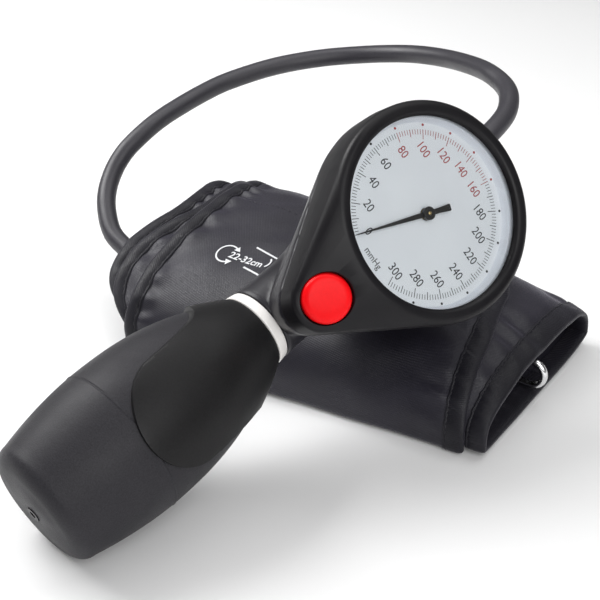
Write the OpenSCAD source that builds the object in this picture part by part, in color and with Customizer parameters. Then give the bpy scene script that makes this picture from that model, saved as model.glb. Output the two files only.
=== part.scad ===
// Palm-type aneroid upper arm blood pressure monitor with its rolled cuff.
// Millimetres, +Z up. The cuff's roll lies along X on z = 0; the gauge unit leans on it.

/* [Dial and head] */
// Visible radius of the dial
dial_r = 30; // [28:0.5:31]
// Outer radius of the head at its rim
head_r = 35; // [34:0.5:37]
// Distance from the dial's centre to the release button's centre
button_y = 45; // [44:0.5:47]
// Radius of the front shell's end, around the button
button_end_r = 10.4; // [10:0.1:11]
// Depth of the parting line between the shells, below the dial's face
seam_depth = 10; // [9:0.5:11]
// Depth of the head's back, below the dial's face
head_depth = 44; // [43:0.5:46]
// Depth of the bulb's and hose's common axis, below the dial's face
axis_depth = 30; // [29.5:0.5:31]
// Thickness of the shells' walls
wall = 2; // [1.6:0.1:2.4]

/* [Release button] */
// Radius of the release button
button_r = 7.8; // [7:0.1:8]
// Tilt of the button towards the bulb
button_tilt = 23; // [21:1:24]
// Travel of the button
button_travel = 2; // [1:0.1:2.2]

/* [Movement] */
// Module of the gear teeth
gear_module = 0.4; // [0.4:0.01:0.42]
// Teeth on the pinion
pinion_teeth = 12; // [12:1:12]
// Teeth that a whole wheel of the sector's size would have
sector_teeth = 72; // [72:6:72]
// Angle on the dial between two numbered marks, 20 mmHg apart
mark_step = 21.3; // [21:0.1:21.4]

/* [Bulb] */
// Largest radius of the bulb
bulb_r = 24.2; // [23:0.1:25]
// Distance from the dial's centre to the bulb's widest place
bulb_mid = 109.7; // [108:0.1:111]
// Distance from the dial's centre to the bulb's flat end
bulb_end = 145.5; // [145:0.5:147]
// Thickness of the bulb's rubber
bulb_wall = 2.4; // [2:0.1:3]
// Half width of the grip sleeve's tongue
tongue_r = 17.2; // [15:0.1:18]

/* [Hose] */
// Outer diameter of the hose
hose_d = 7.4; // [6:0.1:7.4]
// Sides of the hose's swept tube
hose_sides = 10; // [8:1:12]

/* [Cuff] */
// Width of the cuff's outer wrap, along the roll
cuff_w = 134; // [130:1:140]
// Height of the roll at its right end
cuff_h_right = 21.7; // [20:0.1:24]
// Height of the roll at its left end
cuff_h_left = 39.5; // [37:0.5:41]
// Thickness of one wrap of the cuff's doubled cloth
wrap_t = 1.6; // [1.2:0.1:2]

/* [Placement] */
// Height of the dial's centre above the floor
dial_height = 76; // [76:0.1:77]
// Heading of the bulb-to-hose axis, from +Y
unit_heading = -13.1; // [-14:0.1:-12]
// Pitch of that axis above the floor
unit_pitch = 17.1; // [17:0.1:18]
// Roll of the dial about that axis
unit_roll = 57.25; // [56:0.25:58]

/* [Hidden] */
$fn = 72;
// Clearance between separate pieces, and between a shaft and its hole
gap = 0.3;
run = 0.05;
end_tilt = 10;

// Where the cuff's right front corner lies from the origin
corner = [74.7, 16.2, 0];
dial_at = [-29.7, 9.2, dial_height];

// Head
rim_z = 6.6;
rim_seat_z = 4.6;
lens_r = dial_r + 1.6;
lens_t = 1.5;
lens_z = 2.9;
dial_t = 0.6;
inner_r = head_r - wall;
bowl_back_r = 19;
neck_r = 12.4;
neck_end = 54.3;
screw_at = [[-11, -12], [11, -12], [-11, 10], [11, 10]];

// Movement: the plates lie behind the dial
front_plate_z = -3.6;
rear_plate_z = -10.6;
plate_t = 1;
plate_r = 20;
arbor_r = 0.6;
gear_z = -8.4;
gear_t = 1.2;
pinion_r = gear_module * pinion_teeth / 2;
sector_r = gear_module * sector_teeth / 2;
sector_at = [0, pinion_r + sector_r, 0];
pointer_zero = 90 + 7.5 * mark_step;
pointer_span = 15 * mark_step;
sector_span = pointer_span * pinion_teeth / sector_teeth;
pillar_at = [[-14, -9], [14, -9], [-15.5, 10], [15.5, 10]];
rocker_at = [0, -13, rear_plate_z - 2.4];
rocker_lug_x = 9.5;

// Capsule and air block
capsule_r = 15;
capsule_z = -20.4;
capsule_t = 5;
block_r = 5.2;
block_from = -44.6;
block_to = 21.2;

// Ring and bulb
ring_y0 = -54.6;
ring_y1 = -58.3;
ring_r0 = 12.3;
ring_r1 = 12.9;
bulb_neck_y = -58.6;
sleeve_t = 1.6;
sleeve_full_y = -66;
tongue_shoulder_y = -64;
tongue_y = -96.5;
tongue_fillet = 14;

// Cuff: the section's height, width and roundness run from the right end to the left
hump = 30;
section_steps = 12;
middle_left = -146;
inner_left = -154;
inner_right = -24;
outer_right = -10;
bladder_left = -140;
bladder_right = -34;
bladder_t = 1.5;
ring_length = 136;
ring_end_r = 4.6;
ring_wire = 1.25;
ring_bar_r = 1.4;
ring_slope = 3.43;
ring_at = [-1.5, 39.2, 11.1];
tab_right = -10;
tab_left = -126;
tab_t = 1.4;

// Route of the hose after it leaves the strain relief, measured from the cuff's corner
hose_route = [
    [-40, 76, 78], [-41, 89, 80], [-45.1, 99.9, 82], [-51.8, 109.3, 82.2], [-60.9, 117.2, 82.2],
    [-70, 124.8, 80.7], [-80, 131.8, 78.7], [-90.1, 138.3, 76.4], [-101, 143.1, 74.2], [-112, 146, 72],
    [-123.9, 145.9, 69.8], [-135, 143, 68], [-146.2, 137.2, 66.5], [-155.2, 129.1, 65.4], [-162.3, 119.2, 64.5],
    [-168.1, 109.1, 63.2], [-173.6, 97.8, 61.4], [-176.1, 86.8, 59.9], [-178.1, 74.9, 58], [-180, 63.5, 55.5],
    [-181.4, 53.6, 52.2], [-182.9, 44.5, 47.6], [-183, 37, 42], [-180.3, 29.3, 36.5], [-175.2, 22.8, 31.5],
    [-168.1, 17.6, 26.5], [-158.5, 15, 23], [-149.5, 12, 20.2], [-140, 9, 18.5], [-131, 6.5, 18]
];
relief_from = 21.4;
relief_to = 50;

// ---------- placement ----------

module unit() {
    translate(corner + dial_at)
        rotate([0, 0, unit_heading]) rotate([unit_pitch, 0, 0]) rotate([0, unit_roll, 0])
            children();
}

module cuff_place() {
    translate(corner) children();
}

// A point of the gauge unit, from the cuff's corner
function unit_point(p) =
    let (
        a = [p.x * cos(unit_roll) + p.z * sin(unit_roll), p.y, -p.x * sin(unit_roll) + p.z * cos(unit_roll)],
        b = [a.x, a.y * cos(unit_pitch) - a.z * sin(unit_pitch), a.y * sin(unit_pitch) + a.z * cos(unit_pitch)],
        c = [b.x * cos(unit_heading) - b.y * sin(unit_heading), b.x * sin(unit_heading) + b.y * cos(unit_heading), b.z]
    ) dial_at + c;

// Children are made along +Z and laid along the unit's -Y, on the bulb's axis
module along_axis() {
    translate([0, 0, -axis_depth]) rotate([90, 0, 0]) children();
}

module on_button_axis() {
    translate([0, -button_y, 0]) rotate([button_tilt, 0, 0]) children();
}

// ---------- head ----------

// Outline of the head at a depth: the round bowl and the smaller end at the button
module head_outline(big, small) {
    a = asin((big - small) / button_y);
    circle(r = big);
    translate([0, -button_y]) circle(r = small);
    polygon([
        [-big * cos(a), -big * sin(a)], [big * cos(a), -big * sin(a)],
        [small * cos(a), -button_y - small * sin(a)], [-small * cos(a), -button_y - small * sin(a)]
    ]);
}

module rounded_disc(r, z0, z1, edge) {
    rotate_extrude()
        polygon(concat(
            [[0, z0], [r, z0]],
            [for (a = [0:15:90]) [r - edge + edge * cos(a), z1 - edge + edge * sin(a)]],
            [[0, z1]]
        ));
}

module front_shell_solid(inset, top) {
    hull() {
        translate([0, 0, -seam_depth]) linear_extrude(0.5) head_outline(head_r - 0.8 - inset, button_end_r - inset);
        rounded_disc(head_r - inset, -2, top, 2.2);
        translate([0, -button_y, 0]) rotate([end_tilt, 0, 0])
            rounded_disc(button_end_r - inset, -6, top - 7.6, 2);
    }
}

module front_shell() {
    color([0.16, 0.16, 0.18]) unit() difference() {
        front_shell_solid(0, rim_z);
        difference() {
            translate([0, 0, -0.01]) front_shell_solid(wall, rim_z - wall);
            cylinder(r = dial_r - 1, h = 60, center = true);
        }
        translate([0, 0, -seam_depth - 1]) cylinder(r = dial_r + 2.2, h = seam_depth + 1 + rim_seat_z);
        translate([0, 0, rim_seat_z - 0.01]) cylinder(r1 = dial_r, r2 = dial_r + 1.4, h = 3);
        on_button_axis() translate([0, 0, -20]) cylinder(r = button_r + gap, h = 40);
    }
}

module rear_shell_outer() {
    hull() {
        translate([0, 0, -seam_depth - 0.6]) linear_extrude(0.5) head_outline(head_r - 0.9, button_end_r);
        translate([0, 0, -seam_depth - 7]) linear_extrude(0.5) head_outline(head_r - 3.6, button_end_r - 0.4);
        translate([0, 0, -34]) cylinder(r = 24.4, h = 1);
        translate([0, 0, -head_depth]) cylinder(r = bowl_back_r, h = 1);
        translate([0, 0, -head_depth + 1.5]) cylinder(r = bowl_back_r + 1.6, h = 1);
    }
    along_axis() cylinder(r = neck_r, h = neck_end);
    along_axis() translate([0, 0, 18]) cylinder(r1 = 17.6, r2 = neck_r, h = 20);
}

module rear_shell() {
    color([0.15, 0.15, 0.17]) unit() difference() {
        rear_shell_outer();
        hull() {
            translate([0, 0, -seam_depth - 0.6]) linear_extrude(1) head_outline(head_r - 3, button_end_r - 2);
            translate([0, 0, -seam_depth - 7]) linear_extrude(0.5) head_outline(head_r - 5.6, button_end_r - 2.4);
            translate([0, 0, -34]) cylinder(r = 22.2, h = 1);
            translate([0, 0, -head_depth + wall]) cylinder(r = bowl_back_r - 0.6, h = 1);
        }
        along_axis() translate([0, 0, 0]) cylinder(r = neck_r - wall, h = neck_end + 1);
        along_axis() translate([0, 0, -head_r]) cylinder(r = 5.05, h = head_r);
        for (p = screw_at) translate([p.x, p.y, -head_depth - 1]) {
            cylinder(r = 1.6, h = 12);
            cylinder(r = 3.1, h = 2);
        }
    }
}

module shell_screws() {
    color("silver") unit()
        for (p = screw_at) translate([p.x, p.y, -head_depth]) {
            difference() {
                translate([0, 0, 0.1]) cylinder(r = 2.9, h = 0.85);
                cube([4, 0.7, 0.9], center = true);
                cube([0.7, 4, 0.9], center = true);
            }
            translate([0, 0, 0.9]) cylinder(r = 1.5, h = 6);
        }
}

module lens() {
    color([0.9, 0.95, 1, 0.25]) unit() translate([0, 0, lens_z]) cylinder(r = lens_r, h = lens_t);
}

module lens_gasket() {
    color([0.1, 0.1, 0.1]) unit() translate([0, 0, 0.1]) difference() {
        cylinder(r = lens_r, h = lens_z - 0.2);
        translate([0, 0, -1]) cylinder(r = dial_r + 0.4, h = lens_z + 2);
    }
}

module dial_plate() {
    color("white") unit() translate([0, 0, -dial_t]) difference() {
        cylinder(r = lens_r, h = dial_t);
        translate([0, 0, -1]) cylinder(r = 2, h = dial_t + 2);
    }
}

// ---------- movement ----------

module pointer() {
    color([0.08, 0.07, 0.06]) unit() rotate([0, 0, pointer_zero]) difference() {
        union() {
            translate([0, 0, 1]) cylinder(r = 2, h = 1);
            translate([0, 0, 1.2]) linear_extrude(0.4)
                polygon([[0, -0.9], [26.5, -0.15], [26.5, 0.15], [0, 0.9]]);
            translate([-8.6, -0.85, 1.2]) cube([8.6, 1.7, 0.4]);
        }
        cylinder(r = arbor_r, h = 10, center = true);
    }
}

// Polar angle of an involute at radius r, for a base radius b
function involute(b, r) = let (a = acos(b / max(r, b))) tan(a) * 180 / PI - a;

// One tooth's outline, from root to tip, centred on +X; half is the half angle at the pitch circle
function tooth(pitch_r, root_r, tip_r, half) =
    let (
        base_r = pitch_r * cos(20),
        lean = involute(base_r, pitch_r),
        radii = [for (k = [0:5]) let (r0 = max(root_r, base_r)) r0 + (tip_r - r0) * k / 5],
        flank = [for (r = radii) let (a = half + lean - involute(base_r, r)) [r, a]],
        lower = [for (p = flank) p[0] * [cos(-p[1]), sin(-p[1])]],
        upper = [for (k = [5:-1:0]) flank[k][0] * [cos(flank[k][1]), sin(flank[k][1])]],
        foot = flank[0][1]
    ) concat(
        [(root_r - 0.3) * [cos(-foot), sin(-foot)]], lower, upper, [(root_r - 0.3) * [cos(foot), sin(foot)]]
    );

module pinion_arbor() {
    tooth_half = 90 / pinion_teeth - 1.1;
    phase = (5.5 * 360 / sector_teeth - sector_span / 2) * sector_teeth / pinion_teeth;
    color("goldenrod") unit() {
        translate([0, 0, rear_plate_z - plate_t - 0.6]) cylinder(r = arbor_r, h = 13.4 + plate_t);
        translate([0, 0, gear_z - 0.2]) linear_extrude(gear_t + 0.4) union() {
            circle(r = pinion_r - 1.3 * gear_module);
            for (k = [0:pinion_teeth - 1]) rotate(90 - phase + (k + 0.5) * 360 / pinion_teeth)
                polygon(tooth(pinion_r, pinion_r - 1.3 * gear_module, pinion_r + 0.95 * gear_module, tooth_half));
        }
        translate([0, 0, gear_z + 2]) cylinder(r = 1.2, h = 1.2);
    }
}

module hairspring() {
    turns = 4;
    inner = 1.25;
    pitch = 0.9;
    thick = 0.12;
    points = [for (a = [0:20:360 * turns]) let (r = inner + pitch * a / 360) [r * cos(a), r * sin(a)]];
    back = [for (a = [360 * turns:-20:0]) let (r = inner + thick + pitch * a / 360) [r * cos(a), r * sin(a)]];
    color("goldenrod") unit() translate([0, 0, gear_z + 2.3]) linear_extrude(0.5) polygon(concat(points, back));
}

module plate(z) {
    difference() {
        translate([0, 0, z]) cylinder(r = plate_r, h = plate_t);
        translate([0, 0, z - 1]) cylinder(r = arbor_r + run, h = plate_t + 2);
        translate([0, sector_at.y, z - 1]) cylinder(r = arbor_r + 0.4 + run, h = plate_t + 2);
        for (side = [-1, 1]) translate([side * 15, 0, z - 1]) cylinder(r = 3, h = plate_t + 2);
        translate([-6.2, rocker_at.y, z - 1]) cylinder(r = 2.4, h = plate_t + 2);
    }
}

module movement_front_plate() { color("goldenrod") unit() plate(front_plate_z); }

module movement_rear_plate() {
    color("goldenrod") unit() {
        plate(rear_plate_z);
        difference() {
            for (side = [-1, 1]) translate([side * rocker_lug_x, rocker_at.y, rocker_at.z + 0.5])
                cube([1.6, 4, 2 * (rear_plate_z - rocker_at.z) - 0.9], center = true);
            translate(rocker_at) rotate([0, 90, 0]) cylinder(r = 0.9 + run, h = 40, center = true);
        }
    }
}

module movement_pillars() {
    color("goldenrod") unit() for (p = pillar_at) {
        translate([p.x, p.y, rear_plate_z + plate_t]) cylinder(r = 1.4, h = front_plate_z - rear_plate_z - plate_t);
        translate([p.x, p.y, front_plate_z + plate_t]) cylinder(r = 1.1, h = -dial_t - front_plate_z - plate_t);
        translate([p.x, p.y, capsule_z + 1.2]) cylinder(r = 1.4, h = rear_plate_z - capsule_z - 1.2);
    }
}

module sector_gear() {
    half_span = 37;
    tooth_half = 90 / sector_teeth - 0.2;
    step = 360 / sector_teeth;
    root_r = sector_r - 1.25 * gear_module;
    color("goldenrod") unit() translate(sector_at) {
        translate([0, 0, rear_plate_z - plate_t - 0.4])
            cylinder(r = arbor_r + 0.4, h = front_plate_z - rear_plate_z + 2 * plate_t + 0.8);
        translate([0, 0, gear_z]) linear_extrude(gear_t) rotate(-90 - sector_span / 2) union() {
            circle(r = 2.2);
            difference() {
                intersection() {
                    circle(r = root_r);
                    polygon([
                        [0, 0], 30 * [cos(-half_span), sin(-half_span)], [30, 0],
                        30 * [cos(half_span), sin(half_span)]
                    ]);
                }
                intersection() {
                    difference() {
                        circle(r = root_r - 2.2);
                        circle(r = 4);
                    }
                    polygon([
                        [0, 0], 30 * [cos(12 - half_span), sin(12 - half_span)], [30, 0],
                        30 * [cos(half_span - 12), sin(half_span - 12)]
                    ]);
                }
            }
            for (k = [-6.5:1:6.5]) rotate(k * step)
                polygon(tooth(sector_r, root_r, sector_r + 0.6 * gear_module, tooth_half));
        }
    }
}

module rocker_shaft() {
    color("silver") unit() translate(rocker_at) {
        rotate([0, 90, 0]) cylinder(r = 0.9, h = 22, center = true);
        translate([-1.2, 0, -0.5]) cube([2.4, 10.6, 1]);
        translate([-7, -0.8, 0]) cube([1.6, 1.6, 4.6]);
    }
}

// ---------- pressure capsule and air block ----------

module capsule_half(sign) {
    thick = 0.4;
    outline = [for (k = [0:12]) [3 + k, (k % 2 == 0 ? 1.7 : 1.2)]];
    rotate_extrude() polygon(concat(
        [[0, sign * 2.1]], [for (p = outline) [p.x, sign * p.y]], [[capsule_r, sign * (gap / 2)]],
        [[capsule_r - 0.8, sign * (gap / 2)]],
        [for (k = [11:-1:0]) [3 + k, sign * (outline[k].y - thick)]], [[0, sign * 1.7]]
    ));
}

module capsule_front() { color("goldenrod") unit() translate([0, 0, capsule_z + 2.6]) capsule_half(1); }

module capsule_rear() {
    color("goldenrod") unit() translate([0, 0, capsule_z + 2.6]) difference() {
        capsule_half(-1);
        cylinder(r = 0.9, h = 10, center = true);
    }
}

module capsule_pin() {
    color("silver") unit() translate([0, -5, capsule_z + 4.8]) cylinder(r = 0.7, h = rocker_at.z - capsule_z - 5.4);
}

module air_block() {
    color("silver") unit() difference() {
        union() {
            along_axis() translate([0, 0, -block_to]) cylinder(r = block_r, h = block_to - block_from);
            translate([0, 0, -axis_depth]) cylinder(r = 4, h = axis_depth + capsule_z + 0.4);
            on_button_axis() translate([0, 0, -axis_depth]) cylinder(r = 4.4, h = 17);
        }
        along_axis() translate([0, 0, -block_to - 1]) cylinder(r = 1.6, h = block_to - block_from + 2);
        along_axis() translate([0, 0, -block_to - 1]) cylinder(r = 2.2 + run, h = 7.5);
        translate([0, 0, -axis_depth]) cylinder(r = 0.9, h = axis_depth);
        on_button_axis() translate([0, 0, -axis_depth - 10]) cylinder(r = 1.4 + run, h = 60);
        on_button_axis() translate([0, 0, -axis_depth - 0.5]) cylinder(r = 3.2, h = 8);
    }
}

// ---------- release button ----------

module release_button() {
    color([0.9, 0.07, 0.08]) unit() on_button_axis() difference() {
        rounded_disc(button_r, -5.4, 2, 1.6);
        translate([0, 0, -6]) cylinder(r = button_r - 1.6, h = 4);
        translate([0, 0, -6]) cylinder(r = 1.4, h = 4.6);
    }
}

module valve_stem() {
    color("silver") unit() on_button_axis() {
        translate([0, 0, -29.6]) cylinder(r = 1.4, h = 28.2);
        translate([0, 0, -24.8]) cylinder(r = 2.7, h = 1);
    }
}

module valve_seal() {
    color([0.2, 0.05, 0.04]) unit() on_button_axis() translate([0, 0, -23.7]) difference() {
        cylinder(r = 2.9, h = 1.1);
        translate([0, 0, -1]) cylinder(r = 1.45, h = 4);
    }
}

module button_spring() {
    turns = 4;
    rise = 7.6;
    points = [for (k = [0:turns * 14]) let (a = k * 360 / 14) [4 * cos(a), 4 * sin(a), -12.4 + rise * k / (turns * 14)]];
    color("silver") unit() on_button_axis() tube(points, 0.4, 8);
}

// ---------- outlet valve, ring and bulb ----------

module outlet_valve_seat() {
    color("silver") unit() along_axis() translate([0, 0, 46.5]) difference() {
        cylinder(r = 4.2, h = 7.4);
        translate([0, 0, -1]) cylinder(r = 2.2, h = 6.3);
        translate([0, 0, -1]) cylinder(r = 1.1, h = 20);
    }
}

module outlet_valve_ball() {
    color([0.3, 0.3, 0.32]) unit() along_axis() translate([0, 0, 50.6]) sphere(r = 1.6);
}

module collar_ring() {
    color([0.93, 0.91, 0.89]) unit() along_axis() difference() {
        translate([0, 0, -ring_y0]) cylinder(r1 = ring_r0, r2 = ring_r1, h = ring_y0 - ring_y1);
        translate([0, 0, -ring_y0 - 1]) cylinder(r = 9.3, h = 10);
    }
}

module bulb_spigot() {
    color([0.2, 0.2, 0.22]) unit() along_axis() difference() {
        union() {
            translate([0, 0, 46.4]) cylinder(r = neck_r - wall - 0.1, h = 7.8);
            translate([0, 0, 46.4]) cylinder(r = 8.8, h = 26.8);
            translate([0, 0, 66]) cylinder(r1 = 9.2, r2 = 8.2, h = 7);
        }
        translate([0, 0, 45]) cylinder(r = 4.2 + run, h = 9);
        translate([0, 0, 45]) cylinder(r = 2.4, h = 40);
        translate([0, 0, 60]) cylinder(r = 7, h = 40);
    }
}

// Outer radius of the bulb at a distance along its axis
function bulb_radius(d) =
    let (t = abs(d - bulb_mid) / 37.3)
    bulb_r * (1 - 0.255 * pow(t, d < bulb_mid ? 2.35 : 1.85));

// Outline of the bulb's outer surface, grown by off, from the neck to the end's rounded edge
function bulb_outline(off, from, to) =
    [for (d = [from:(to - from) / 24:to + 0.001]) [max(10.7, bulb_radius(d)) + off, d]];

module bulb() {
    edge_from = bulb_end - 6;
    edge_r = bulb_radius(edge_from);
    edge = bulb_end - 1 - edge_from;
    outer = concat(
        bulb_outline(0, -bulb_neck_y, edge_from),
        [for (a = [15:15:90]) [edge_r - edge * 1.25 * (1 - cos(a)), edge_from + edge * sin(a)]],
        [[4, bulb_end], [2.55, bulb_end]]
    );
    inner = concat(
        [[2.55, bulb_end - bulb_wall]],
        [for (a = [75:-15:15]) [edge_r - bulb_wall - edge * (1 - cos(a)), edge_from - bulb_wall + edge * sin(a)]],
        [for (d = [edge_from - bulb_wall:-5:74]) [bulb_radius(d) - bulb_wall, d]],
        [[10.1, 71], [9.25, 64], [9.25, -bulb_neck_y]]
    );
    color([0.2, 0.2, 0.22]) unit() along_axis() rotate_extrude() polygon(concat(outer, inner));
}

// What is cut away beside and beyond the sleeve's tongue, seen from the front
function tongue_side() = concat(
    [for (a = [90:-15:0]) 
        [tongue_r + tongue_fillet * (1 - cos(a)), tongue_shoulder_y - tongue_fillet * (1 - sin(a))]],
    [for (a = [0:-10:-90]) [tongue_r * cos(a), tongue_y + tongue_r * sin(a)]]
);

module tongue_cut() {
    side = tongue_side();
    last = len(side) - 1;
    polygon(concat(
        [[40, -130], [40, tongue_shoulder_y]], side,
        [for (k = [last - 1:-1:0]) [-side[k].x, side[k].y]], [[-40, tongue_shoulder_y], [-40, -130]]
    ));
}

module grip_sleeve() {
    last = 116;
    outer = bulb_outline(sleeve_t, -bulb_neck_y, last);
    inner = [for (k = [24:-1:0]) [outer[k].x - sleeve_t + 0.02, outer[k].y]];
    color([0.1, 0.1, 0.11]) unit() difference() {
        along_axis() rotate_extrude() polygon(concat(outer, inner));
        translate([-40, -130, -90]) cube([80, 130 + sleeve_full_y, 90 - axis_depth]);
        translate([0, 0, -axis_depth - 1]) linear_extrude(60) tongue_cut();
    }
}

module inlet_valve_body() {
    color([0.12, 0.12, 0.13]) unit() along_axis() difference() {
        union() {
            translate([0, 0, bulb_end - 9]) cylinder(r = 2.5, h = 9);
            translate([0, 0, bulb_end - 9]) cylinder(r = 5, h = 8.6 - bulb_wall);
        }
        translate([0, 0, bulb_end - 10]) cylinder(r = 2, h = 6);
        translate([0, 0, bulb_end - 10]) cylinder(r = 1.2, h = 20);
    }
}

module inlet_valve_ball() {
    color([0.3, 0.3, 0.32]) unit() along_axis() translate([0, 0, bulb_end - 5]) sphere(r = 1.5);
}

// ---------- hose ----------

module hose_nipple() {
    color("silver") unit() along_axis() translate([0, 0, -38]) difference() {
        union() {
            cylinder(r = 2.2, h = 22);
            for (z = [1, 4, 7]) translate([0, 0, z]) cylinder(r1 = 2.2, r2 = 2.6, h = 1.6);
        }
        translate([0, 0, -1]) cylinder(r = 1.4, h = 30);
    }
}

module strain_relief() {
    color([0.12, 0.12, 0.13]) unit() along_axis() difference() {
        translate([0, 0, -relief_to]) cylinder(r1 = hose_d / 2 + 0.5, r2 = 5, h = relief_to - relief_from);
        translate([0, 0, -38.5]) cylinder(r = 2.7, h = 30);
        translate([0, 0, -relief_to - 1]) cylinder(r = 1.9, h = 30);
    }
}

function unit_vector(v) = v / norm(v);

// Points of one ring of a tube around p, square to t
function tube_ring(p, t, r, n) =
    let (side = unit_vector(cross(t, [0, 0.1, 1])), up = cross(side, t))
    [for (k = [0:n - 1]) p + r * (side * cos(k * 360 / n) + up * sin(k * 360 / n))];

module tube(points, r, n) {
    last = len(points) - 1;
    tangents = [for (i = [0:last]) unit_vector(points[min(i + 1, last)] - points[max(i - 1, 0)])];
    rings = [for (i = [0:last]) each tube_ring(points[i], tangents[i], r, n)];
    sides = [for (i = [0:last - 1]) for (k = [0:n - 1])
        [i * n + k, i * n + (k + 1) % n, (i + 1) * n + (k + 1) % n, (i + 1) * n + k]];
    polyhedron(rings, concat([[for (k = [n - 1:-1:0]) k]], sides, [[for (k = [0:n - 1]) last * n + k]]));
}

module air_hose() {
    start = [for (y = [relief_to + 0.1, 54]) unit_point([0, y, -axis_depth])];
    color([0.2, 0.2, 0.22]) cuff_place() tube(concat(start, hose_route), hose_d / 2, hose_sides);
}

// ---------- cuff ----------

// Share of the way from the right end to the left
function along(x) = min(1, max(0, -x / cuff_w));
function mix_ends(right, left, x) = right + (left - right) * along(x);
function roll_height(x) = cuff_h_right + (cuff_h_left - cuff_h_right) * (1 - exp(x / hump)) / (1 - exp(-cuff_w / hump));

// One section of the roll at x, inset from the outer surface: round on top, flatter below
function section(x, inset, n = 40) =
    let (
        power = mix_ends(3, 2, x),
        side_z = mix_ends(6, 8, x),
        peak = mix_ends(50, 55, x),
        front = mix_ends(52.5, 69, x) - inset,
        back = mix_ends(36, 33, x) - inset,
        top = roll_height(x) - side_z - inset,
        bottom = side_z - inset
    )
    [for (k = [0:n - 1])
        let (
            a = k * 360 / n,
            p = a < 180 ? power : 10,
            c = pow(abs(cos(a)), 2 / p) * (cos(a) < 0 ? -front : back),
            s = pow(abs(sin(a)), 2 / p) * (a < 180 ? top : -bottom)
        )
        [x, peak + c, side_z + s]];

module loft(from, to, inset) {
    n = 40;
    steps = section_steps;
    rings = [for (i = [0:steps]) each section(from + (to - from) * i / steps, inset, n)];
    sides = [for (i = [0:steps - 1]) for (k = [0:n - 1])
        [i * n + k, (i + 1) * n + k, (i + 1) * n + (k + 1) % n, i * n + (k + 1) % n]];
    polyhedron(rings, concat([[for (k = [0:n - 1]) k]], sides, [[for (k = [n - 1:-1:0]) steps * n + k]]));
}

module wrap(left, right, inset, thick) {
    cuff_place() difference() {
        loft(left, right, inset);
        loft(left - 1, right + 1, inset + thick);
    }
}

module cuff_outer_wrap() { color([0.15, 0.15, 0.17]) wrap(-cuff_w, outer_right, 0, wrap_t); }

module cuff_middle_wrap() { color([0.17, 0.17, 0.19]) wrap(middle_left, 0, wrap_t + gap, wrap_t); }

module cuff_inner_wrap() { color([0.14, 0.14, 0.16]) wrap(inner_left, inner_right, 2 * (wrap_t + gap), wrap_t); }

module bladder() {
    color([0.1, 0.1, 0.1]) wrap(bladder_left, bladder_right, 3 * (wrap_t + gap), bladder_t);
}

module bladder_port() {
    count = len(hose_route);
    last = hose_route[count - 1];
    ahead = unit_vector(last - hose_route[count - 2]);
    color([0.1, 0.1, 0.1]) cuff_place() tube([for (d = [0.05, 5, 11]) last + d * ahead], 2.9, 12);
}

// The ring is a long loop that hangs in the roll from its upper bar; its right end shows at the cuff's end
module ring_place() {
    cuff_place() translate(ring_at) rotate([0, ring_slope, 0]) rotate([90, 0, 0]) children();
}

module d_ring() {
    bow = concat(
        [for (a = [90:-18:-90]) [ring_end_r * cos(a), ring_end_r * sin(a), 0]],
        [for (a = [-90:-18:-270]) [ring_end_r * cos(a) - ring_length, ring_end_r * sin(a), 0]]
    );
    color("silver") ring_place() {
        tube(bow, ring_wire, 12);
        translate([0.8, ring_end_r, 0]) rotate([0, -90, 0]) cylinder(r = ring_bar_r, h = ring_length + 1.6);
    }
}

// Height of the roll's inner ceiling over the ring, less a little room
function ceiling(x) = roll_height(x) - 3 * (wrap_t + gap) - bladder_t - 1.2;

module d_ring_tab() {
    steps = 11;
    xs = [for (k = [0:steps]) tab_right - 28 + (tab_left - tab_right + 28) * k / steps];
    bar_z = ring_at.z + ring_end_r + 1.6;
    slant = tan(ring_slope);
    color([0.12, 0.12, 0.13]) {
        ring_place() translate([tab_right, ring_end_r, 0]) rotate([0, -90, 0]) difference() {
            cylinder(r = ring_bar_r + 1.3, h = tab_right - tab_left);
            translate([0, 0, -1]) cylinder(r = ring_bar_r + run, h = tab_right - tab_left + 2);
        }
        cuff_place() translate([0, ring_at.y + tab_t / 2, 0]) rotate([90, 0, 0]) linear_extrude(tab_t)
            polygon(concat(
                [for (x = xs) [x, ceiling(x)]],
                [for (k = [steps:-1:0]) [xs[k], bar_z + 0.3 - xs[k] * slant]]
            ));
    }
}

front_shell();
rear_shell();
shell_screws();
lens();
lens_gasket();
dial_plate();
pointer();
pinion_arbor();
hairspring();
movement_front_plate();
movement_rear_plate();
movement_pillars();
sector_gear();
rocker_shaft();
capsule_front();
capsule_rear();
capsule_pin();
air_block();
release_button();
valve_stem();
valve_seal();
button_spring();
outlet_valve_seat();
outlet_valve_ball();
collar_ring();
bulb_spigot();
bulb();
grip_sleeve();
inlet_valve_body();
inlet_valve_ball();
hose_nipple();
strain_relief();
air_hose();
bladder_port();
bladder();
cuff_outer_wrap();
cuff_middle_wrap();
cuff_inner_wrap();
d_ring();
d_ring_tab();
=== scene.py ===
"""Upper arm blood pressure monitor: gauge unit with squeeze bulb, rubber hose and rolled cuff."""

from math import cos, dist, exp, pi, radians, sin

import bmesh
import bpy
import numpy as np
from mathutils import Matrix, Vector


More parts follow.
